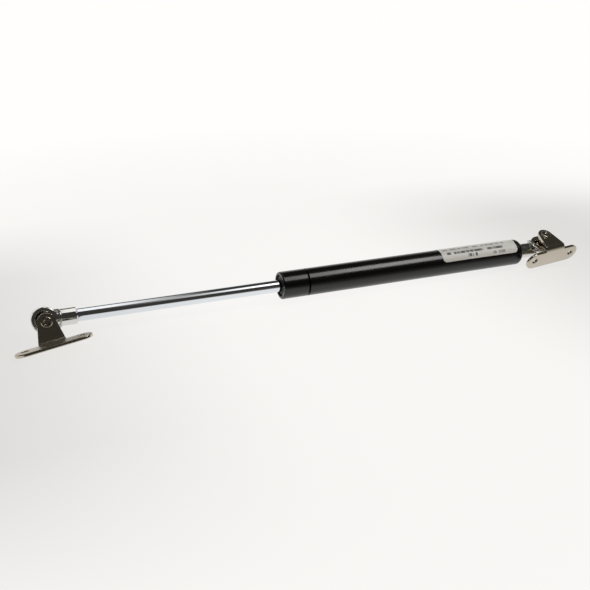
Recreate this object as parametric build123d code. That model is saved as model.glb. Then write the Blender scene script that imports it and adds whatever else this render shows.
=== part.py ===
from build123d import *
import os
from math import atan2, cos, degrees, radians, sin, sqrt

os.makedirs("parts", exist_ok=True)

# Gas strut stay: a gas-charged tube and a sprung piston rod, with a ball socket and a screw-on
# angle bracket at each end. Millimetres. The strut axis is X, the rod end towards -X, +Z is up.
# Everything is first set out with x = 0 on the tube's rod-end face and the strut axis on y = z = 0.

# Strut
ROD_D = 8.0
TUBE_D = 18.0
TUBE_WALL = 1.2
TUBE_LENGTH = 183.5
ROD_OUT = 130.3            # bright rod between the tube and the rod-end socket, fully extended
TUBE_EDGE_R = 0.9          # outer edge of the rod-end face
TUBE_SHOULDER_R = 3.8      # rolled shoulder of the closed end
LIP_BORE_D = 14.6          # opening left by the rolled-in lip round the rod
PLUG_BORE_D = 10.2         # opening left by the closed end
GROOVE_X = 17.8            # rolled groove that locks the seal stack
GROOVE_W = 1.4
GROOVE_DEPTH = 0.55

# Fits and clearances, all radial unless said
RUN_FIT = 0.05             # rod in guide, piston ring in tube, stud in ear
SEAL_FIT = 0.02            # seal lip round the rod
LOOSE = 0.3                # piston and washers inside the tube
THREAD_FIT = 0.05
BALL_FIT = 0.08
END_FLOAT = 0.05           # axial, between faces that turn on one another

# Seal stack, from the rod-end lip inwards
GUIDE_LENGTH = 8.0
SEAL_LENGTH = 5.0
SEAL_GROOVE_W = 1.3
SEAL_GROOVE_FLOOR_W = 0.4
SEAL_GROOVE_DEPTH = 3.0
SEAL_LIP_W = 0.8           # the sealing edge's length on the rod
SEAL_RELIEF = 0.4          # behind the lip, off the rod
GUIDE_WIPE_CHAMFER = 1.3
BACKING_CHAMFER = 0.5

# Piston rod
ROD_CHAMFER = 0.4

# Piston set
WASHER_T = 1.0
PISTON_LENGTH = 9.0
PISTON_NECK_D = 5.0
PISTON_HEAD_D = 7.2
PISTON_HEAD_T = 1.4
PISTON_HEAD_R = 0.7        # riveted edge
REAR_WASHER_INSET = 0.6    # rear washer's rim inside the front one's
PISTON_RING_W = 2.6
PISTON_RING_DEPTH = 1.9
ORIFICE_D = 1.2
ORIFICE_R = 4.3            # from the strut axis

# Plug in the closed end
PLUG_LENGTH = 12.0
PLUG_CHAMFER = 0.6
O_RING_W = 2.0
O_RING_INSET = 3.0         # groove behind the plug's inner face

# Threads, as plain cylinders
THREAD_D = 6.0
THREAD_ENGAGED = 10.5
THREAD_BORE_DEPTH = 11.5
THREAD_CHAMFER = 0.6

# Ball joint
BALL_D = 10.0
BALL_TO_SHANK_END = 19.0
SHANK_D = 10.6
SHANK_CHAMFER = 0.5
HEAD_D = 16.0
HEAD_MOUTH = 5.0           # ball centre to the mouth face
HEAD_BACK = 6.0            # ball centre to the closed back
HEAD_MOUTH_R = 0.9
HEAD_BACK_R = 2.6
MOUTH_CHAMFER = 0.5
NECK_D = 5.4
COLLAR_D = 8.6
COLLAR_T = 1.8
COLLAR_CHAMFER = 0.5
RIVET_SHANK_D = 5.0
RIVET_HEAD_D = 6.6
RIVET_HEAD_T = 0.9
RIVET_HEAD_R = 0.6
RIVET_CUP_D = 4.2
RIVET_CUP_TAPER = 0.6      # cup's floor inside its rim
RIVET_CUP_DEPTH = 0.7

# Wire safety clip
WIRE_D = 1.2
WIRE_HOLE_D = 1.4
CLIP_LEG_MOUTH = 3.4       # leg axis in front of the ball centre
CLIP_TIP_BACK = 5.2        # leg tip behind the ball centre
CLIP_CORNER = 1.6
BOW_GAP = 0.35             # bow to the socket's head and shank

# Bracket
PLATE_T = 2.0
BEND_R = 1.8               # inside radius
FLANGE_LENGTH = 45.0
FLANGE_REACH = 16.6        # outer ear face to the flange's far edge
WING_LEAD = 0.6            # the wings' near edge inside the end of the bend
HOLE_SPACING = 32.5
HOLE_D = 4.8
HOLE_REACH = 9.0           # outer ear face to the hole line
EAR_BASE = 16.4
EAR_SIDE_HEIGHT = 4.0      # flange underside to where the ear starts to taper
EAR_TOP_R = 5.3
EAR_CORNER_R = 3.2
STUD_HEIGHT = 13.8         # stud axis above the flange underside
STUD_REACH = 13.2          # ball centre to the rivet face of the ear
EDGE_R = 0.55

# Label
LABEL_T = 0.12
LABEL_LENGTH = 60.4
LABEL_END_GAP = 5.7        # label to the closed end of the tube
LABEL_FROM = 19.0          # lower edge, degrees above the front
LABEL_WRAP = 150.0         # degrees round the tube
LABEL_CORNER_R = 2.8

# Rest pose: how each socket has rolled about the strut, and each bracket about its stud (degrees)
ROD_END_ROLL = -15.1
ROD_END_SPIN = -8.2
TUBE_END_ROLL = -64.9
TUBE_END_SPIN = -6.2

TUBE_R = TUBE_D / 2
BORE_R = TUBE_R - TUBE_WALL
ROD_R = ROD_D / 2
THREAD_R = THREAD_D / 2
BALL_R = BALL_D / 2
SEAT_R = BALL_R + BALL_FIT
RIVET_R = RIVET_SHANK_D / 2
BOW_R = (SHANK_D + WIRE_D) / 2 + BOW_GAP
CLIP_LEG_SIDE = sqrt(BOW_R**2 - CLIP_LEG_MOUTH**2)
GROOVE_R = GROOVE_W**2 / (8 * GROOVE_DEPTH) + GROOVE_DEPTH / 2
GUIDE_START = TUBE_WALL
SEAL_START = GUIDE_START + GUIDE_LENGTH
BACKING_START = SEAL_START + SEAL_LENGTH
BACKING_END = GROOVE_X - GROOVE_W / 2 - END_FLOAT
ROD_SHOULDER = GROOVE_X + GROOVE_W / 2 + END_FLOAT
PISTON_STACK = 2 * WASHER_T + PISTON_LENGTH
ROD_BALL_X = -ROD_OUT - BALL_TO_SHANK_END
TUBE_BALL_X = TUBE_LENGTH + BALL_TO_SHANK_END
BEND_END = PLATE_T + BEND_R      # outer ear face to the flat of the flange
WING_START = BEND_END - WING_LEAD
CLIP_PULL = 0.55 * CLIP_CORNER   # reach of the corner's curve handles, for a nearly round corner
WELD = 0.5                 # how far the shapes that make up one solid run into each other
OVERCUT = 1.0              # how far a cut runs past the face it opens
SAME_PLANE = 0.01


def bar(radius, start, end):
    """A cylinder along X."""
    return Pos((start + end) / 2, 0, 0) * Rot(0, 90, 0) * Cylinder(radius, end - start)


def post(radius, start, end):
    """A cylinder along Z."""
    return Pos(0, 0, (start + end) / 2) * Cylinder(radius, end - start)


def ring(outer, inner, start, end):
    """A plain ring along X."""
    return bar(outer, start, end) - bar(inner, start - OVERCUT, end + OVERCUT)


def turned(points):
    """A solid turned about X from (x, radius) points."""
    return revolve(make_face(Polyline(*points, close=True)), Axis.X)


def bead(x, inner_radius, radius):
    """A round-sectioned ring about X, its nearest points to the axis at the inner radius."""
    section = Plane.XZ * (Pos(x, inner_radius + radius) * Circle(radius))
    return revolve(section, Axis.X)


def circles_at(shape, axis, position):
    """The round edges that lie in the plane at this position along the axis."""
    edges = shape.edges().filter_by(GeomType.CIRCLE)
    return edges.filter_by_position(axis, position - SAME_PLANE, position + SAME_PLANE)


# Pressure tube: drawn steel, lip rolled in over the rod guide, far end rolled over the plug.
tube_body = bar(TUBE_R, 0, TUBE_LENGTH)
tube_body = fillet(circles_at(tube_body, Axis.X, TUBE_LENGTH), TUBE_SHOULDER_R)
tube_body = fillet(circles_at(tube_body, Axis.X, 0), TUBE_EDGE_R)
tube_hollow = bar(BORE_R, TUBE_WALL, TUBE_LENGTH - TUBE_WALL)
tube_hollow = fillet(circles_at(tube_hollow, Axis.X, TUBE_LENGTH - TUBE_WALL), TUBE_SHOULDER_R - TUBE_WALL)
pressure_tube = tube_body - tube_hollow
pressure_tube -= bar(LIP_BORE_D / 2, -OVERCUT, TUBE_WALL + OVERCUT)
pressure_tube -= bar(PLUG_BORE_D / 2, TUBE_LENGTH - TUBE_WALL - OVERCUT, TUBE_LENGTH + OVERCUT)
pressure_tube += bead(GROOVE_X, BORE_R - GROOVE_DEPTH, GROOVE_R)
pressure_tube -= bead(GROOVE_X, TUBE_R - GROOVE_DEPTH, GROOVE_R)

# Rod guide, lip seal and backing ring, stacked between the lip and the rolled groove.
rod_guide = ring(BORE_R, ROD_R + RUN_FIT, GUIDE_START, SEAL_START)
rod_guide = chamfer(
    circles_at(rod_guide, Axis.X, GUIDE_START).sort_by(SortBy.RADIUS)[0], GUIDE_WIPE_CHAMFER
)
seal_mid = (ROD_R + BORE_R) / 2
seal_floor = BACKING_START - SEAL_GROOVE_DEPTH
rod_seal = turned(
    [
        (SEAL_START, ROD_R + SEAL_RELIEF),
        (SEAL_START, BORE_R),
        (BACKING_START, BORE_R),
        (BACKING_START, seal_mid + SEAL_GROOVE_W / 2),
        (seal_floor, seal_mid + SEAL_GROOVE_FLOOR_W / 2),
        (seal_floor, seal_mid - SEAL_GROOVE_FLOOR_W / 2),
        (BACKING_START, seal_mid - SEAL_GROOVE_W / 2),
        (BACKING_START, ROD_R + SEAL_FIT),
        (BACKING_START - SEAL_LIP_W, ROD_R + SEAL_FIT),
        (BACKING_START - 2 * SEAL_LIP_W, ROD_R + SEAL_RELIEF),
    ]
)
seal_backing_ring = ring(BORE_R, ROD_R + LOOSE, BACKING_START, BACKING_END)
backing_rim = circles_at(seal_backing_ring, Axis.X, BACKING_END).sort_by(SortBy.RADIUS)[-1]
seal_backing_ring = chamfer(backing_rim, BACKING_CHAMFER)

# Piston rod: ground bar with a screw end for the socket and a neck that carries the piston.
neck_end = ROD_SHOULDER + END_FLOAT * 2 + PISTON_STACK
rod_bar = chamfer(bar(ROD_R, -ROD_OUT, ROD_SHOULDER).edges().filter_by(GeomType.CIRCLE), ROD_CHAMFER)
rod_screw = bar(THREAD_R - THREAD_FIT, -ROD_OUT - THREAD_ENGAGED, -ROD_OUT + WELD)
rod_screw = chamfer(circles_at(rod_screw, Axis.X, -ROD_OUT - THREAD_ENGAGED), THREAD_CHAMFER)
rod_neck = bar(PISTON_NECK_D / 2, ROD_SHOULDER - WELD, neck_end + WELD)
rod_head = bar(PISTON_HEAD_D / 2, neck_end, neck_end + PISTON_HEAD_T)
rod_head = fillet(circles_at(rod_head, Axis.X, neck_end + PISTON_HEAD_T), PISTON_HEAD_R)
piston_rod = rod_bar + rod_screw + rod_neck + rod_head

# Piston between two washers, with a slide ring in its groove and a throttle hole beside the rod.
neck_bore = PISTON_NECK_D / 2 + RUN_FIT
washer_start = ROD_SHOULDER + END_FLOAT
piston_start = washer_start + WASHER_T
piston_end = piston_start + PISTON_LENGTH
piston_front_washer = ring(BORE_R - LOOSE, neck_bore, washer_start, piston_start)
piston_rear_washer = ring(BORE_R - LOOSE - REAR_WASHER_INSET, neck_bore, piston_end, piston_end + WASHER_T)
ring_start = (piston_start + piston_end - PISTON_RING_W) / 2
ring_seat_r = BORE_R - LOOSE - PISTON_RING_DEPTH
piston = ring(BORE_R - LOOSE, neck_bore, piston_start, piston_end)
piston -= ring(TUBE_R, ring_seat_r, ring_start, ring_start + PISTON_RING_W)
orifice = Pos(0, ORIFICE_R, 0) * bar(ORIFICE_D / 2, washer_start - OVERCUT, piston_end + WASHER_T + OVERCUT)
piston -= orifice
piston_front_washer -= orifice
piston_rear_washer -= orifice
piston_ring = ring(BORE_R - RUN_FIT, ring_seat_r, ring_start, ring_start + PISTON_RING_W)

# Plug rolled into the closed end, its screw carrying the tube-end socket, and its O-ring.
plug_start = TUBE_LENGTH - PLUG_LENGTH
plug_body = bar(BORE_R, plug_start, TUBE_LENGTH - TUBE_WALL)
plug_body = fillet(circles_at(plug_body, Axis.X, TUBE_LENGTH - TUBE_WALL), TUBE_SHOULDER_R - TUBE_WALL)
plug_body = chamfer(circles_at(plug_body, Axis.X, plug_start), PLUG_CHAMFER)
plug_boss = bar(PLUG_BORE_D / 2, TUBE_LENGTH - TUBE_WALL - WELD, TUBE_LENGTH)
plug_screw = bar(THREAD_R - THREAD_FIT, TUBE_LENGTH - WELD, TUBE_LENGTH + THREAD_ENGAGED)
plug_screw = chamfer(circles_at(plug_screw, Axis.X, TUBE_LENGTH + THREAD_ENGAGED), THREAD_CHAMFER)
o_ring_start = plug_start + O_RING_INSET
tube_end_plug = plug_body + plug_boss + plug_screw
tube_end_plug -= ring(TUBE_R, BORE_R - O_RING_W, o_ring_start, o_ring_start + O_RING_W)
plug_o_ring = bead(o_ring_start + O_RING_W / 2, BORE_R - O_RING_W, O_RING_W / 2)

# Rating label: printed film turned part of the way round the tube, its corners rounded.
label_end = TUBE_LENGTH - LABEL_END_GAP
label_start = label_end - LABEL_LENGTH
label_to = LABEL_FROM + LABEL_WRAP
label_edge = Pos((label_start + label_end) / 2, TUBE_R + LABEL_T / 2) * Rectangle(LABEL_LENGTH, LABEL_T)
label = Rot(90 - label_to, 0, 0) * revolve(Plane.XZ * label_edge, Axis.X, LABEL_WRAP)
corner_box = Box(2 * LABEL_CORNER_R, 2 * LABEL_CORNER_R, TUBE_R, align=(Align.MIN, Align.MIN, Align.CENTER))
corner_waste = corner_box - Cylinder(LABEL_CORNER_R, TUBE_D)
for edge_angle, edge in ((LABEL_FROM, -1), (label_to, 1)):
    angle = radians(edge_angle) - edge * LABEL_CORNER_R / TUBE_R
    outward = Vector(0, -cos(angle), sin(angle))
    for corner_x, end in ((label_start, -1), (label_end, 1)):
        centre = outward * TUBE_R + Vector(corner_x - end * LABEL_CORNER_R, 0, 0)
        at_corner = Plane(origin=centre, x_dir=(end, 0, 0), z_dir=outward * (edge * end))
        label -= at_corner.location * corner_waste

# Ball joint pieces, set out round the ball centre: +X along the shank to the strut, mouth towards -Z.
head = post(HEAD_D / 2, -HEAD_MOUTH, HEAD_BACK)
head = fillet(circles_at(head, Axis.Z, -HEAD_MOUTH), HEAD_MOUTH_R)
head = fillet(circles_at(head, Axis.Z, HEAD_BACK), HEAD_BACK_R)
shank = bar(SHANK_D / 2, 0, BALL_TO_SHANK_END)
shank = chamfer(circles_at(shank, Axis.X, BALL_TO_SHANK_END), SHANK_CHAMFER)
lip_z = -HEAD_MOUTH + MOUTH_CHAMFER
lip_r = SEAT_R + MOUTH_CHAMFER
cup_line = Polyline(
    (SEAT_R, 0, 0),
    (SEAT_R, 0, lip_z),
    (lip_r, 0, -HEAD_MOUTH),
    (lip_r, 0, -HEAD_MOUTH - OVERCUT),
    (0, 0, -HEAD_MOUTH - OVERCUT),
    (0, 0, SEAT_R),
)
cup_arc = ThreePointArc((0, 0, SEAT_R), (SEAT_R * sqrt(0.5), 0, SEAT_R * sqrt(0.5)), (SEAT_R, 0, 0))
cup = revolve(make_face(cup_line.edges() + cup_arc.edges()), Axis.Z)
socket = head + shank - cup
socket -= bar(THREAD_R, BALL_TO_SHANK_END - THREAD_BORE_DEPTH, BALL_TO_SHANK_END + OVERCUT)
for side in (-1, 1):
    socket -= Pos(0, side * CLIP_LEG_SIDE, -CLIP_LEG_MOUTH) * bar(WIRE_HOLE_D / 2, -HEAD_D, HEAD_D)

# Spring-wire clip: two legs through the head, in front of the ball, joined by a bow over the shank.
bow_x = HEAD_D / 2 + WIRE_D / 2 + BOW_GAP
leg_angle = degrees(atan2(CLIP_LEG_SIDE, CLIP_LEG_MOUTH))
turn_angle = leg_angle - degrees(CLIP_CORNER / BOW_R)


def on_bow(angle):
    """A point on the bow, by its angle from the mouth side."""
    return Vector(bow_x, BOW_R * sin(radians(angle)), -BOW_R * cos(radians(angle)))


def leg_point(side, x):
    """A point on one straight leg."""
    return Vector(x, side * CLIP_LEG_SIDE, -CLIP_LEG_MOUTH)


clip_path = []
for side in (-1, 1):
    leg_end = leg_point(side, bow_x - CLIP_CORNER)
    corner_end = on_bow(side * turn_angle)
    into_corner = Vector(0, side * cos(radians(turn_angle)), sin(radians(turn_angle)))
    leg = Line(leg_point(side, -CLIP_TIP_BACK), leg_end)
    corner = Bezier(
        leg_end, leg_end + Vector(CLIP_PULL, 0, 0), corner_end + into_corner * CLIP_PULL, corner_end
    )
    clip_path += [leg, corner]
clip_path.append(ThreePointArc(on_bow(-turn_angle), on_bow(0), on_bow(turn_angle)))
clip_start = Plane(origin=leg_point(-1, -CLIP_TIP_BACK), z_dir=(1, 0, 0))
clip = sweep(clip_start * Circle(WIRE_D / 2), path=Wire(clip_path))

# Ball stud: ball, neck, collar against the ear, and a tubular rivet end set over behind it.
ear_front = -STUD_REACH + PLATE_T
collar_front = ear_front + END_FLOAT
neck_meets_ball = -sqrt(BALL_R**2 - (NECK_D / 2) ** 2)
neck = post(NECK_D / 2, collar_front, neck_meets_ball + WELD)
collar = post(COLLAR_D / 2, collar_front, collar_front + COLLAR_T)
collar = chamfer(circles_at(collar, Axis.Z, collar_front + COLLAR_T), COLLAR_CHAMFER)
rivet_back = -STUD_REACH - END_FLOAT
rivet_head = post(RIVET_HEAD_D / 2, rivet_back - RIVET_HEAD_T, rivet_back)
rivet_head = fillet(circles_at(rivet_head, Axis.Z, rivet_back - RIVET_HEAD_T), RIVET_HEAD_R)
rivet = post(RIVET_R, rivet_back - WELD, collar_front + WELD) + rivet_head
rivet_cup = Cone(RIVET_CUP_D / 2 - RIVET_CUP_TAPER, RIVET_CUP_D / 2, RIVET_CUP_DEPTH)
rivet -= Pos(0, 0, rivet_back - RIVET_HEAD_T + RIVET_CUP_DEPTH / 2) * Rot(180, 0, 0) * rivet_cup
ball_stud = Sphere(BALL_R) + neck + collar + rivet

# Bracket: one pressed plate. Ear in the XY plane, stud axis on Z, flange underside at y = STUD_HEIGHT,
# flange reaching towards +Z from the ear's outer face at z = 0.
ear_side_y = STUD_HEIGHT - EAR_SIDE_HEIGHT
ear_outline = make_hull(
    (
        Circle(EAR_TOP_R)
        + Pos(EAR_BASE / 2 - EAR_CORNER_R, ear_side_y + EAR_CORNER_R) * Circle(EAR_CORNER_R)
        + Pos(-EAR_BASE / 2 + EAR_CORNER_R, ear_side_y + EAR_CORNER_R) * Circle(EAR_CORNER_R)
        + Pos(0, STUD_HEIGHT) * Rectangle(EAR_BASE, 2 * OVERCUT)
    ).edges()
)
fold_top = EAR_TOP_R + OVERCUT
fold = Pos(PLATE_T / 2, (STUD_HEIGHT - fold_top) / 2) * Rectangle(PLATE_T, STUD_HEIGHT + fold_top)
fold += Pos((BEND_END + WELD) / 2, STUD_HEIGHT - PLATE_T / 2) * Rectangle(BEND_END + WELD, PLATE_T)
for corner, radius in (((0, STUD_HEIGHT), BEND_END), ((PLATE_T, STUD_HEIGHT - PLATE_T), BEND_R)):
    fold = fillet(fold.vertices().sort_by_distance(corner)[0], radius)
fold_plane = Plane(origin=(EAR_BASE / 2, 0, 0), x_dir=(0, 0, 1), z_dir=(-1, 0, 0))
fold_strip = fold_plane * extrude(fold, EAR_BASE)
ear = fold_strip & extrude(ear_outline, BEND_END + 2 * WELD)
wing_w = FLANGE_REACH - WING_START
flange_middle = (0, STUD_HEIGHT, WING_START + wing_w / 2)
flange_plane = Plane(origin=flange_middle, x_dir=(1, 0, 0), z_dir=(0, -1, 0))
flange = flange_plane * extrude(SlotOverall(FLANGE_LENGTH, wing_w), PLATE_T)
flange_sides = flange.edges().filter_by(GeomType.LINE).filter_by(Axis.X)
flange = fillet(flange_sides + flange.edges().filter_by(GeomType.CIRCLE), EDGE_R)
bracket = ear + flange - post(RIVET_R + RUN_FIT, -WELD, PLATE_T + WELD)
for side in (-1, 1):
    hole_middle = (side * HOLE_SPACING / 2, STUD_HEIGHT - PLATE_T / 2, HOLE_REACH)
    hole = Plane(origin=hole_middle, z_dir=(0, 1, 0))
    bracket -= hole.location * Cylinder(HOLE_D / 2, PLATE_T + 2 * OVERCUT)

# The two ends. Each stud points from the ear to the ball; its roll is counted from +Y towards +Z.
# The rod-end bracket wears its ball on the outer side of the bend, the tube-end one inside it.
parts = {
    "pressure_tube": pressure_tube,
    "rod_guide": rod_guide,
    "rod_seal": rod_seal,
    "seal_backing_ring": seal_backing_ring,
    "tube_end_plug": tube_end_plug,
    "plug_o_ring": plug_o_ring,
    "label": label,
    "piston_rod": piston_rod,
    "piston": piston,
    "piston_ring": piston_ring,
    "piston_front_washer": piston_front_washer,
    "piston_rear_washer": piston_rear_washer,
}
inside_bend = Pos(0, 0, -STUD_REACH)
outside_bend = Pos(0, 0, -STUD_REACH + PLATE_T) * Rot(0, 180, 0)
for end, ball_x, inward, roll, spin, fixing in (
    ("rod_end", ROD_BALL_X, 1, ROD_END_ROLL, ROD_END_SPIN, outside_bend),
    ("tube_end", TUBE_BALL_X, -1, TUBE_END_ROLL, TUBE_END_SPIN, inside_bend),
):
    stud_dir = Vector(0, cos(radians(roll)), sin(radians(roll)))
    joint = Plane(origin=(ball_x, 0, 0), x_dir=(inward, 0, 0), z_dir=stud_dir).location
    side_dir = stud_dir.cross(Vector(1, 0, 0))
    plate_dir = Vector(1, 0, 0) * cos(radians(spin)) + side_dir * sin(radians(spin))
    plate = Plane(origin=(ball_x, 0, 0), x_dir=plate_dir, z_dir=stud_dir).location
    parts[f"{end}_socket"] = joint * socket
    parts[f"{end}_clip"] = joint * clip
    parts[f"{end}_ball_stud"] = joint * ball_stud
    parts[f"{end}_bracket"] = plate * fixing * bracket

# The frame's origin: middle of the whole strut in plan, on the surface it lies on.
box = Compound(children=[Compound(part.wrapped) for part in parts.values()]).bounding_box()
origin = Pos(-(box.min.X + box.max.X) / 2, -(box.min.Y + box.max.Y) / 2, -box.min.Z)
for name, part in parts.items():
    export_step(origin * part, f"parts/{name}.step")
print("strut axis at y", round(origin.position.Y, 3), "z", round(origin.position.Z, 3))
print("tube face at x", round(origin.position.X, 3))
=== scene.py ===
from math import radians

import bpy
from mathutils import Matrix, Vector


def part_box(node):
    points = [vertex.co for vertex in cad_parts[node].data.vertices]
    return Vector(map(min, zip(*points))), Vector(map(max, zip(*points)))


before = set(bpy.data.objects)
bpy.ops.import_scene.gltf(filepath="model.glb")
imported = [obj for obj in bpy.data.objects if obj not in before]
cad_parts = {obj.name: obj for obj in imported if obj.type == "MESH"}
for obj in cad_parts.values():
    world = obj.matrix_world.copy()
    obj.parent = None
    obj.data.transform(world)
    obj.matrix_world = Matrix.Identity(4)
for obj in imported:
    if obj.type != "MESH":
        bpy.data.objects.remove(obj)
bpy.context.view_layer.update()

# Viewpoint: standing before the strut, a little to the rod end's side, looking down at it. A normal
# lens takes in the whole length.
VIEW_FROM = Vector((-0.22466, -0.49852, 0.22087))
VIEW_AT = Vector((-0.01756, 0.01093, 0.00363))
LENS_MM = 54.98
SENSOR_MM = 36.0
camera_data = bpy.data.cameras.new("camera")
camera_data.lens = LENS_MM
camera_data.sensor_width = SENSOR_MM
camera = bpy.data.objects.new("camera", camera_data)
camera.location = VIEW_FROM
camera.rotation_euler = (VIEW_AT - VIEW_FROM).to_track_quat("-Z", "Y").to_euler()
bpy.context.scene.collection.objects.link(camera)
bpy.context.scene.camera = camera
bpy.context.scene.view_settings.view_transform = "Standard"


# Sheet: matt off-white paper, laid flat to the horizon. Seen directly it is bright, with a faint shadow
# and painted shade, soft greys towards the strut's ends. Metal alone sees it end just in front of the
# strut, at a slanting edge, with a dark bench before it.
def srgb(hex_colour):
    """A paint-chart colour as the linear RGBA that the shaders take."""
    values = [int(hex_colour[i : i + 2], 16) / 255 for i in (1, 3, 5)]
    return tuple(v / 12.92 if v <= 0.04045 else ((v + 0.055) / 1.055) ** 2.4 for v in values) + (1.0,)


def add_node(tree, kind, settings=None, **inputs):
    """One shader node, its settings, and its sockets: a value, or another node's output to link."""
    node = tree.nodes.new(kind)
    for name, value in (settings or {}).items():
        setattr(node, name, value)
    for name, value in inputs.items():
        numbered = name[0] == "i" and name[1:].isdigit()
        socket = node.inputs[int(name[1:])] if numbered else node.inputs[name.replace("_", " ")]
        if isinstance(value, bpy.types.NodeSocket):
            tree.links.new(value, socket)
        else:
            socket.default_value = value
    return node


def new_material(name):
    """An empty material, its tree and its output node."""
    made = bpy.data.materials.new(name)
    made.use_nodes = True
    made.node_tree.nodes.clear()
    return made, made.node_tree, made.node_tree.nodes.new("ShaderNodeOutputMaterial")


SHEET_HALF = 9.0
EDGE_SLANT = 0.45
SLANT_ENDS_X = 0.02
ALL_BENCH_Y = -0.056
ALL_PAPER_Y = -0.012
LEAST_PAPER = 0.12
SHADOW_NEAR = 0.22
SHADOW_FAR = 0.6
NEAR_SHARE = 0.9
GREY_STARTS_X = 0.05
GREY_FULL_X = 0.26
GREY_MOST = 0.24
GREY_FULL_Y = 0.12
GREY_GONE_Y = 0.26
GREY_FULL_AWAY = 0.26
GREY_GONE_AWAY = 0.48
sheet_corners = [(x * SHEET_HALF, y * SHEET_HALF, 0) for x, y in ((-1, -1), (1, -1), (1, 1), (-1, 1))]
sheet_mesh = bpy.data.meshes.new("paper_sheet")
sheet_mesh.from_pydata(sheet_corners, [], [(0, 1, 2, 3)])
sheet = bpy.data.objects.new("paper_sheet", sheet_mesh)
bpy.context.scene.collection.objects.link(sheet)
paper, tree, output = new_material("matt off-white paper")
rays = add_node(tree, "ShaderNodeLightPath")
place = add_node(tree, "ShaderNodeTexCoord")
split = add_node(tree, "ShaderNodeSeparateXYZ", Vector=place.outputs["Object"])
left_part = add_node(
    tree, "ShaderNodeMath", {"operation": "MINIMUM"}, i0=split.outputs["X"], i1=SLANT_ENDS_X
)
slant = add_node(
    tree, "ShaderNodeMath", {"operation": "MULTIPLY"}, i0=left_part.outputs[0], i1=EDGE_SLANT
)
from_edge = add_node(
    tree, "ShaderNodeMath", {"operation": "SUBTRACT"}, i0=split.outputs["Y"], i1=slant.outputs[0]
)
on_paper = add_node(
    tree, "ShaderNodeMapRange",
    Value=from_edge.outputs[0], From_Min=ALL_BENCH_Y, From_Max=ALL_PAPER_Y, To_Min=LEAST_PAPER,
)
off_paper = add_node(tree, "ShaderNodeMath", {"operation": "SUBTRACT"}, i0=1.0, i1=on_paper.outputs[0])
in_metal = add_node(
    tree, "ShaderNodeMath", {"operation": "MULTIPLY"},
    i0=rays.outputs["Is Glossy Ray"], i1=on_paper.outputs[0],
)
bench = add_node(
    tree, "ShaderNodeMath", {"operation": "MULTIPLY"},
    i0=rays.outputs["Is Glossy Ray"], i1=off_paper.outputs[0],
)
tone = add_node(
    tree, "ShaderNodeMix", {"data_type": "RGBA"},
    i0=bench.outputs[0], i6=srgb("#ebe6dc"), i7=srgb("#66645b"),
)
matt = add_node(tree, "ShaderNodeBsdfDiffuse", Color=tone.outputs[2])
seen = add_node(
    tree, "ShaderNodeMath", {"operation": "MAXIMUM"},
    i0=rays.outputs["Is Camera Ray"], i1=rays.outputs["Is Transmission Ray"],
)
away = add_node(tree, "ShaderNodeVectorMath", {"operation": "LENGTH"}, i0=place.outputs["Object"])
clear = add_node(
    tree, "ShaderNodeMapRange",
    Value=away.outputs["Value"], From_Min=SHADOW_NEAR, From_Max=SHADOW_FAR, To_Min=NEAR_SHARE, To_Max=1.0,
)
direct = add_node(
    tree, "ShaderNodeMath", {"operation": "MULTIPLY"}, i0=seen.outputs[0], i1=clear.outputs[0]
)
share = add_node(
    tree, "ShaderNodeMath", {"operation": "MAXIMUM"}, i0=direct.outputs[0], i1=in_metal.outputs[0]
)
# Painted shade: the paper's glow is greyed towards the strut's ends, near its line, fading out further
# away.
sideways = add_node(tree, "ShaderNodeMath", {"operation": "ABSOLUTE"}, i0=split.outputs["X"])
ends = add_node(
    tree, "ShaderNodeMapRange", {"interpolation_type": "SMOOTHSTEP"},
    Value=sideways.outputs[0], From_Min=GREY_STARTS_X, From_Max=GREY_FULL_X, To_Min=0.0, To_Max=GREY_MOST,
)
depth = add_node(tree, "ShaderNodeMath", {"operation": "ABSOLUTE"}, i0=split.outputs["Y"])
nearby = add_node(
    tree, "ShaderNodeMapRange",
    Value=depth.outputs[0], From_Min=GREY_FULL_Y, From_Max=GREY_GONE_Y, To_Min=1.0, To_Max=0.0,
)
close_by = add_node(
    tree, "ShaderNodeMapRange", {"interpolation_type": "SMOOTHSTEP"},
    Value=away.outputs["Value"], From_Min=GREY_FULL_AWAY, From_Max=GREY_GONE_AWAY, To_Min=1.0, To_Max=0.0,
)
at_ends = add_node(
    tree, "ShaderNodeMath", {"operation": "MULTIPLY"}, i0=ends.outputs[0], i1=nearby.outputs[0]
)
painted_shade_at_ends = add_node(
    tree, "ShaderNodeMath", {"operation": "MULTIPLY"}, i0=at_ends.outputs[0], i1=close_by.outputs[0]
)
level = add_node(tree, "ShaderNodeMath", {"operation": "SUBTRACT"}, i0=1.0, i1=painted_shade_at_ends.outputs[0])
bright = add_node(tree, "ShaderNodeEmission", Color=srgb("#fffefc"), Strength=level.outputs[0])
surface = add_node(
    tree, "ShaderNodeMixShader", Fac=share.outputs[0], i1=matt.outputs[0], i2=bright.outputs[0]
)
tree.links.new(surface.outputs[0], output.inputs["Surface"])
sheet_mesh.materials.append(paper)

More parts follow.
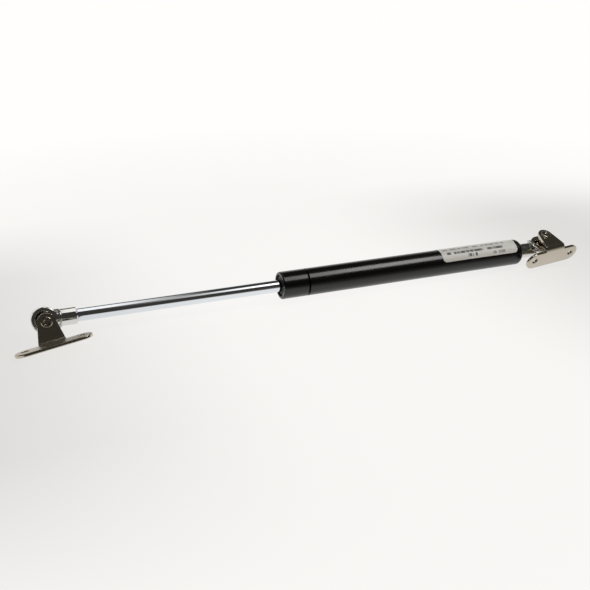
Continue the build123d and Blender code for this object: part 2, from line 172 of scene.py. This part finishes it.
# Studio: two lamps hung over the strut and hidden from the camera. The soft box in front is brightest
# towards the tube end; the weak panel behind is brightest towards the rod end.
for name, stand, aim, size_x, size_y, watts, dark_x, bright_x, falloff in (
    ("soft_box", (0.19, -0.205, 0.57), (0.19, 0.011, 0.0), 0.58, 0.34, 4.3, -0.10, 0.32, 2.7),
    ("rear_panel", (-0.01, 0.13, 0.58), (-0.01, 0.011, 0.0), 0.20, 0.60, 0.45, 0.09, -0.04, 1.3),
):
    lamp = bpy.data.lights.new(name, "AREA")
    lamp.shape = "RECTANGLE"
    lamp.size = size_x
    lamp.size_y = size_y
    lamp.energy = watts
    lamp.color = (1.0, 0.985, 0.965)
    lamp.use_nodes = True
    tree = lamp.node_tree
    tree.nodes.clear()
    point = add_node(tree, "ShaderNodeNewGeometry")
    split = add_node(tree, "ShaderNodeSeparateXYZ", Vector=point.outputs["Position"])
    along = add_node(
        tree, "ShaderNodeMapRange", Value=split.outputs["X"], From_Min=dark_x, From_Max=bright_x
    )
    level = add_node(tree, "ShaderNodeMath", {"operation": "POWER"}, i0=along.outputs[0], i1=falloff)
    glow = add_node(tree, "ShaderNodeEmission", Strength=level.outputs[0])
    tree.links.new(glow.outputs[0], tree.nodes.new("ShaderNodeOutputLight").inputs["Surface"])
    holder = bpy.data.objects.new(name, lamp)
    facing = (Vector(aim) - Vector(stand)).to_track_quat("-Z", "Y").to_matrix().to_4x4()
    holder.matrix_world = Matrix.Translation(stand) @ facing
    holder.visible_camera = False
    bpy.context.scene.collection.objects.link(holder)

# Room: seen directly it is a pale backdrop. In metal, and as light, it is a dark room that is pale only
# low down beyond the paper, which draws the dark bands in the chrome.
PALE_STARTS = 0.1
PALE_FULL = 0.6
HEIGHT_DARK = 0.60
HEIGHT_PALE = 0.25
world = bpy.data.worlds.new("studio_room")
world.use_nodes = True
tree = world.node_tree
tree.nodes.clear()
output = tree.nodes.new("ShaderNodeOutputWorld")
direction = add_node(tree, "ShaderNodeTexCoord")
split = add_node(tree, "ShaderNodeSeparateXYZ", Vector=direction.outputs["Generated"])
beyond = add_node(
    tree, "ShaderNodeMapRange", {"interpolation_type": "SMOOTHSTEP"},
    Value=split.outputs["Y"], From_Min=PALE_STARTS, From_Max=PALE_FULL,
)
low = add_node(
    tree, "ShaderNodeMapRange", {"interpolation_type": "SMOOTHSTEP"},
    Value=split.outputs["Z"], From_Min=HEIGHT_DARK, From_Max=HEIGHT_PALE,
)
pale = add_node(
    tree, "ShaderNodeMath", {"operation": "MULTIPLY"},
    i0=beyond.outputs[0], i1=low.outputs[0],
)
walls = add_node(
    tree, "ShaderNodeMix", {"data_type": "RGBA"},
    i0=pale.outputs[0], i6=srgb("#3d3b38"), i7=srgb("#f4f3f0"),
)
rays = add_node(tree, "ShaderNodeLightPath")
shown = add_node(
    tree, "ShaderNodeMix", {"data_type": "RGBA"},
    i0=rays.outputs["Is Camera Ray"], i6=walls.outputs[2], i7=srgb("#fdfcf9"),
)
backdrop = add_node(tree, "ShaderNodeBackground", Color=shown.outputs[2], Strength=1.0)
tree.links.new(backdrop.outputs[0], output.inputs["Surface"])
bpy.context.scene.world = world


# Pressure tube: drawn steel, its end rolled over and the seal groove rolled in, then sprayed with black
# enamel. Satin gloss with the slight peel of spray paint, so that its highlight is broad and soft.
def dress(node_names, finish):
    """Gives these CAD nodes this finish."""
    for node_name in node_names:
        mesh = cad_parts[node_name].data
        mesh.materials.clear()
        mesh.materials.append(finish)
        for polygon in mesh.polygons:
            polygon.material_index = 0


PEEL_MM = 1.4
CLOUD_MM = 18.0
GROOVE_FROM_END = 0.0178
GROOVE_HALF = 0.0006
NOISE_LOW = 0.3
NOISE_HIGH = 0.7
tube_low, tube_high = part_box("pressure_tube")
groove_x = tube_low.x + GROOVE_FROM_END
enamel, tree, output = new_material("satin black enamel")
place = add_node(tree, "ShaderNodeTexCoord")
peel = add_node(
    tree, "ShaderNodeTexNoise",
    Vector=place.outputs["Object"], Scale=1000 / PEEL_MM, Detail=2.0,
)
split = add_node(tree, "ShaderNodeSeparateXYZ", Vector=place.outputs["Object"])
beside = add_node(tree, "ShaderNodeMath", {"operation": "SUBTRACT"}, i0=split.outputs["X"], i1=groove_x)
across = add_node(tree, "ShaderNodeMath", {"operation": "ABSOLUTE"}, i0=beside.outputs[0])
valley = add_node(
    tree, "ShaderNodeMapRange",
    Value=across.outputs[0], From_Min=0.0, From_Max=GROOVE_HALF,
)
sharp = add_node(tree, "ShaderNodeBump", Strength=1.0, Distance=GROOVE_HALF, Height=valley.outputs[0])
bump = add_node(
    tree, "ShaderNodeBump",
    Strength=0.02, Distance=0.0001, Height=peel.outputs["Fac"], Normal=sharp.outputs[0],
)
cloud = add_node(
    tree, "ShaderNodeTexNoise",
    Vector=place.outputs["Object"], Scale=1000 / CLOUD_MM, Detail=3.0,
)
gloss = add_node(
    tree, "ShaderNodeMapRange",
    Value=cloud.outputs["Fac"], From_Min=NOISE_LOW, From_Max=NOISE_HIGH, To_Min=0.19, To_Max=0.23,
)
tint = add_node(
    tree, "ShaderNodeMix", {"data_type": "RGBA"},
    i0=cloud.outputs["Fac"], i6=srgb("#070707"), i7=srgb("#0b0b0b"),
)
paint = add_node(
    tree, "ShaderNodeBsdfPrincipled",
    Base_Color=tint.outputs[2], Roughness=gloss.outputs[0], IOR=1.5, Normal=bump.outputs[0],
)
tree.links.new(paint.outputs[0], output.inputs["Surface"])
dress(["pressure_tube"], enamel)

# Rating label: grey-white polyester film stuck round the tube, printed in black. The print is plain
# rows of dashes that spell nothing. A faint satin, paler than the paint's shine.
PRINT_EDGE_MM = 0.15
PRINT_EDGE_DEG = 1.0
GAP_BELOW = 0.40
INK_ABOVE = 0.52
axis = (tube_low + tube_high) / 2
label_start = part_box("label")[0].x
film, tree, output = new_material("printed polyester film")
place = add_node(tree, "ShaderNodeTexCoord")
split = add_node(tree, "ShaderNodeSeparateXYZ", Vector=place.outputs["Object"])
forward = add_node(tree, "ShaderNodeMath", {"operation": "SUBTRACT"}, i0=axis.y, i1=split.outputs["Y"])
upward = add_node(tree, "ShaderNodeMath", {"operation": "SUBTRACT"}, i0=split.outputs["Z"], i1=axis.z)
angle = add_node(
    tree, "ShaderNodeMath", {"operation": "ARCTAN2"}, i0=upward.outputs[0], i1=forward.outputs[0]
)
ink = None
for low_deg, high_deg, start_mm, end_mm, word_mm, strength in (
    (75.0, 86.0, 2.2, 52.5, 3.4, 0.5),
    (50.0, 62.0, 1.6, 50.5, 5.5, 0.9),
    (30.0, 45.0, 20.3, 28.1, 1.6, 0.9),
    (27.5, 40.5, 40.3, 50.3, 2.4, 0.55),
):
    row = None
    for socket, bound, half_edge in (
        (angle.outputs[0], radians(low_deg), radians(PRINT_EDGE_DEG)),
        (angle.outputs[0], radians(high_deg), -radians(PRINT_EDGE_DEG)),
        (split.outputs["X"], label_start + start_mm / 1000, PRINT_EDGE_MM / 1000),
        (split.outputs["X"], label_start + end_mm / 1000, -PRINT_EDGE_MM / 1000),
    ):
        inside = add_node(
            tree, "ShaderNodeMapRange",
            Value=socket, From_Min=bound - half_edge, From_Max=bound + half_edge,
        )
        row = inside if row is None else add_node(
            tree, "ShaderNodeMath", {"operation": "MULTIPLY"}, i0=row.outputs[0], i1=inside.outputs[0]
        )
    words = add_node(
        tree, "ShaderNodeTexNoise", {"noise_dimensions": "1D"},
        W=split.outputs["X"], Scale=1000 / word_mm, Detail=2.0,
    )
    between = add_node(
        tree, "ShaderNodeMapRange",
        Value=words.outputs["Fac"], From_Min=GAP_BELOW, From_Max=INK_ABOVE, To_Min=0.0, To_Max=strength,
    )
    row = add_node(
        tree, "ShaderNodeMath", {"operation": "MULTIPLY"}, i0=row.outputs[0], i1=between.outputs[0]
    )
    ink = row if ink is None else add_node(
        tree, "ShaderNodeMath", {"operation": "MAXIMUM"}, i0=ink.outputs[0], i1=row.outputs[0]
    )
MOTTLE_MM = 4.0
mottle = add_node(
    tree, "ShaderNodeTexNoise",
    Vector=place.outputs["Object"], Scale=1000 / MOTTLE_MM, Detail=3.0,
)
ground = add_node(
    tree, "ShaderNodeMix", {"data_type": "RGBA"},
    i0=mottle.outputs["Fac"], i6=srgb("#ecebe6"), i7=srgb("#f2f0eb"),
)
printed = add_node(
    tree, "ShaderNodeMix", {"data_type": "RGBA"},
    i0=ink.outputs[0], i6=ground.outputs[2], i7=srgb("#2b2b2e"),
)
coated = add_node(
    tree, "ShaderNodeBsdfPrincipled",
    Base_Color=printed.outputs[2], Roughness=0.4, IOR=1.5,
)
tree.links.new(coated.outputs[0], output.inputs["Surface"])
dress(["label"], film)

# Piston rod: centreless-ground steel bar with hard chrome, polished. A clean mirror, with faint rings
# left by the grinding wheel.
GRIND_MM = 0.5
chrome, tree, output = new_material("polished hard chrome")
place = add_node(tree, "ShaderNodeTexCoord")
stretch = add_node(
    tree, "ShaderNodeMapping", Vector=place.outputs["Object"], Scale=(1000 / GRIND_MM, 40.0, 40.0)
)
rings = add_node(tree, "ShaderNodeTexNoise", Vector=stretch.outputs[0], Scale=1.0, Detail=2.0)
gloss = add_node(
    tree, "ShaderNodeMapRange",
    Value=rings.outputs["Fac"], From_Min=NOISE_LOW, From_Max=NOISE_HIGH, To_Min=0.05, To_Max=0.09,
)
tint = add_node(
    tree, "ShaderNodeMix", {"data_type": "RGBA"},
    i0=rings.outputs["Fac"], i6=srgb("#dbdfe4"), i7=srgb("#e1e5ea"),
)
mirror = add_node(
    tree, "ShaderNodeBsdfPrincipled",
    Base_Color=tint.outputs[2], Metallic=1.0, Roughness=gloss.outputs[0],
)
tree.links.new(mirror.outputs[0], output.inputs["Surface"])
dress(["piston_rod"], chrome)

# Ball sockets: steel turned and drilled, then bright nickel plated. Nearly a mirror, softened by the
# tool's rings under the plating.
TOOL_MM = 0.6
EASED_EDGE_MM = 0.3
plated, tree, output = new_material("bright plate on turned steel")
place = add_node(tree, "ShaderNodeTexCoord")
stretch = add_node(
    tree, "ShaderNodeMapping", Vector=place.outputs["Object"], Scale=(1000 / TOOL_MM, 90.0, 90.0)
)
rings = add_node(tree, "ShaderNodeTexNoise", Vector=stretch.outputs[0], Scale=1.0, Detail=2.0)
eased = add_node(tree, "ShaderNodeBevel", {"samples": 8}, Radius=EASED_EDGE_MM / 1000)
gloss = add_node(
    tree, "ShaderNodeMapRange",
    Value=rings.outputs["Fac"], From_Min=NOISE_LOW, From_Max=NOISE_HIGH, To_Min=0.06, To_Max=0.11,
)
tint = add_node(
    tree, "ShaderNodeMix", {"data_type": "RGBA"},
    i0=rings.outputs["Fac"], i6=srgb("#d8d8d6"), i7=srgb("#dfdfdd"),
)
mirror = add_node(
    tree, "ShaderNodeBsdfPrincipled",
    Base_Color=tint.outputs[2], Metallic=1.0, Roughness=gloss.outputs[0], Normal=eased.outputs[0],
)
tree.links.new(mirror.outputs[0], output.inputs["Surface"])
dress(["rod_end_socket", "tube_end_socket"], plated)

# Brackets: 2 mm steel plate, blanked, folded and tumbled, then nickel plated. Warm and smooth, with a
# soft reflection that clouds a little, and edges just rounded by the tumbling. The flanges' upper faces
# are duller than the ears.
def flange_up(node_name):
    """The way the flange's upper face looks: most of a bracket's flat area is its flange."""
    facing = {}
    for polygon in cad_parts[node_name].data.polygons:
        upward = polygon.normal if polygon.normal.z > 0 else -polygon.normal
        key = tuple(round(part, 2) for part in upward)
        facing[key] = facing.get(key, 0.0) + polygon.area
    return Vector(max(facing, key=facing.get)).normalized()


TUMBLED_EDGE_MM = 0.25
PLATE_CLOUD_MM = 6.0
FLANGE_DULLER = 0.26
DULL_STARTS = 0.3
DULL_FULL = 0.8
nickel, tree, output = new_material("nickel plate on pressed steel")
place = add_node(tree, "ShaderNodeTexCoord")
cloud = add_node(
    tree, "ShaderNodeTexNoise",
    Vector=place.outputs["Object"], Scale=1000 / PLATE_CLOUD_MM, Detail=3.0,
)
worn = add_node(tree, "ShaderNodeBevel", {"samples": 6}, Radius=TUMBLED_EDGE_MM / 1000)
side = add_node(tree, "ShaderNodeSeparateXYZ", Vector=place.outputs["Object"])
which = add_node(tree, "ShaderNodeMath", {"operation": "GREATER_THAN"}, i0=side.outputs["X"], i1=0.0)
upper_face = add_node(
    tree, "ShaderNodeMix", {"data_type": "VECTOR"},
    i0=which.outputs[0], i4=flange_up("rod_end_bracket"), i5=flange_up("tube_end_bracket"),
)
square_on = add_node(
    tree, "ShaderNodeVectorMath", {"operation": "DOT_PRODUCT"},
    i0=place.outputs["Normal"], i1=upper_face.outputs[1],
)
duller = add_node(
    tree, "ShaderNodeMapRange",
    Value=square_on.outputs["Value"], From_Min=DULL_STARTS, From_Max=DULL_FULL,
    To_Min=0.0, To_Max=FLANGE_DULLER,
)
gloss = add_node(
    tree, "ShaderNodeMapRange",
    Value=cloud.outputs["Fac"], From_Min=NOISE_LOW, From_Max=NOISE_HIGH, To_Min=0.11, To_Max=0.14,
)
gloss = add_node(tree, "ShaderNodeMath", {"operation": "ADD"}, i0=gloss.outputs[0], i1=duller.outputs[0])
tint = add_node(
    tree, "ShaderNodeMix", {"data_type": "RGBA"},
    i0=cloud.outputs["Fac"], i6=srgb("#c3bbac"), i7=srgb("#cac2b4"),
)
satin = add_node(
    tree, "ShaderNodeBsdfPrincipled",
    Base_Color=tint.outputs[2], Metallic=1.0, Roughness=gloss.outputs[0], Normal=worn.outputs[0],
)
tree.links.new(satin.outputs[0], output.inputs["Surface"])
dress(["rod_end_bracket", "tube_end_bracket"], nickel)

# Ball studs, end plug and piston washers: bare turned steel, greyer than the plating, with fine marks
# of the tool.
TURNED_EDGE_MM = 0.15
MARK_MM = 1.0
steel, tree, output = new_material("turned steel")
place = add_node(tree, "ShaderNodeTexCoord")
marks = add_node(
    tree, "ShaderNodeTexNoise",
    Vector=place.outputs["Object"], Scale=1000 / MARK_MM, Detail=3.0,
)
worn = add_node(tree, "ShaderNodeBevel", {"samples": 6}, Radius=TURNED_EDGE_MM / 1000)
gloss = add_node(
    tree, "ShaderNodeMapRange",
    Value=marks.outputs["Fac"], From_Min=NOISE_LOW, From_Max=NOISE_HIGH, To_Min=0.12, To_Max=0.18,
)
tint = add_node(
    tree, "ShaderNodeMix", {"data_type": "RGBA"},
    i0=marks.outputs["Fac"], i6=srgb("#b3aa9c"), i7=srgb("#c0b8ab"),
)
bare = add_node(
    tree, "ShaderNodeBsdfPrincipled",
    Base_Color=tint.outputs[2], Metallic=1.0, Roughness=gloss.outputs[0], Normal=worn.outputs[0],
)
tree.links.new(bare.outputs[0], output.inputs["Surface"])
dress(["rod_end_ball_stud", "tube_end_ball_stud"], steel)
dress(["tube_end_plug", "piston_front_washer", "piston_rear_washer"], steel)

# Safety clips: hard-drawn spring wire, zinc plated, bent round the head. Bright along its top, with the
# dull patches of barrel plating.
PATCH_MM = 0.8
wire, tree, output = new_material("zinc-plated spring wire")
place = add_node(tree, "ShaderNodeTexCoord")
patches = add_node(
    tree, "ShaderNodeTexNoise",
    Vector=place.outputs["Object"], Scale=1000 / PATCH_MM, Detail=2.0,
)
gloss = add_node(
    tree, "ShaderNodeMapRange",
    Value=patches.outputs["Fac"], From_Min=NOISE_LOW, From_Max=NOISE_HIGH, To_Min=0.12, To_Max=0.22,
)
tint = add_node(
    tree, "ShaderNodeMix", {"data_type": "RGBA"},
    i0=patches.outputs["Fac"], i6=srgb("#bdbab4"), i7=srgb("#cbc9c5"),
)
drawn = add_node(
    tree, "ShaderNodeBsdfPrincipled",
    Base_Color=tint.outputs[2], Metallic=1.0, Roughness=gloss.outputs[0],
)
tree.links.new(drawn.outputs[0], output.inputs["Surface"])
dress(["rod_end_clip", "tube_end_clip"], wire)

# Rod guide and backing ring: black acetal, machined from bar. A waxy low shine, greyer where the tool
# has faced it.
FACED_MM = 0.9
acetal, tree, output = new_material("black acetal")
place = add_node(tree, "ShaderNodeTexCoord")
marks = add_node(
    tree, "ShaderNodeTexNoise",
    Vector=place.outputs["Object"], Scale=1000 / FACED_MM, Detail=2.0,
)
gloss = add_node(
    tree, "ShaderNodeMapRange",
    Value=marks.outputs["Fac"], From_Min=NOISE_LOW, From_Max=NOISE_HIGH, To_Min=0.32, To_Max=0.42,
)
tint = add_node(
    tree, "ShaderNodeMix", {"data_type": "RGBA"},
    i0=marks.outputs["Fac"], i6=srgb("#4a4a4a"), i7=srgb("#5c5c5b"),
)
waxy = add_node(
    tree, "ShaderNodeBsdfPrincipled",
    Base_Color=tint.outputs[2], Roughness=gloss.outputs[0], IOR=1.48,
)
tree.links.new(waxy.outputs[0], output.inputs["Surface"])
dress(["rod_guide", "seal_backing_ring"], acetal)

# Rod seal and plug O-ring: nitrile rubber, each moulded in one piece. Matt black, with the fine bloom
# of the rubber.
BLOOM_MM = 0.7
rubber, tree, output = new_material("nitrile rubber")
place = add_node(tree, "ShaderNodeTexCoord")
bloom = add_node(
    tree, "ShaderNodeTexNoise",
    Vector=place.outputs["Object"], Scale=1000 / BLOOM_MM, Detail=2.0,
)
bump = add_node(tree, "ShaderNodeBump", Strength=0.1, Distance=0.00005, Height=bloom.outputs["Fac"])
tint = add_node(
    tree, "ShaderNodeMix", {"data_type": "RGBA"},
    i0=bloom.outputs["Fac"], i6=srgb("#161616"), i7=srgb("#1f1f1f"),
)
matt = add_node(
    tree, "ShaderNodeBsdfPrincipled",
    Base_Color=tint.outputs[2], Roughness=0.6, IOR=1.52, Normal=bump.outputs[0],
)
tree.links.new(matt.outputs[0], output.inputs["Surface"])
dress(["rod_seal", "plug_o_ring"], rubber)

# Piston: zinc, die-cast and held on the rod's neck between its two washers. Grey, with the dull grained
# skin of the die.
SKIN_MM = 1.0
cast, tree, output = new_material("die-cast zinc")
place = add_node(tree, "ShaderNodeTexCoord")
skin = add_node(
    tree, "ShaderNodeTexNoise",
    Vector=place.outputs["Object"], Scale=1000 / SKIN_MM, Detail=3.0,
)
bump = add_node(tree, "ShaderNodeBump", Strength=0.15, Distance=0.00005, Height=skin.outputs["Fac"])
tint = add_node(
    tree, "ShaderNodeMix", {"data_type": "RGBA"},
    i0=skin.outputs["Fac"], i6=srgb("#9b9ea1"), i7=srgb("#adb0b3"),
)
grey = add_node(
    tree, "ShaderNodeBsdfPrincipled",
    Base_Color=tint.outputs[2], Metallic=1.0, Roughness=0.42, Normal=bump.outputs[0],
)
tree.links.new(grey.outputs[0], output.inputs["Surface"])
dress(["piston"], cast)

# Slide ring: PTFE filled with bronze powder, skived into strip and laid in the piston's groove. Brown,
# with the speckle of the powder.
POWDER_MM = 0.4
ptfe, tree, output = new_material("bronze-filled PTFE")
place = add_node(tree, "ShaderNodeTexCoord")
speck = add_node(
    tree, "ShaderNodeTexNoise",
    Vector=place.outputs["Object"], Scale=1000 / POWDER_MM, Detail=2.0,
)
tint = add_node(
    tree, "ShaderNodeMix", {"data_type": "RGBA"},
    i0=speck.outputs["Fac"], i6=srgb("#6e5a3e"), i7=srgb("#8b7552"),
)
waxy = add_node(tree, "ShaderNodeBsdfPrincipled", Base_Color=tint.outputs[2], Roughness=0.45, IOR=1.38)
tree.links.new(waxy.outputs[0], output.inputs["Surface"])
dress(["piston_ring"], ptfe)
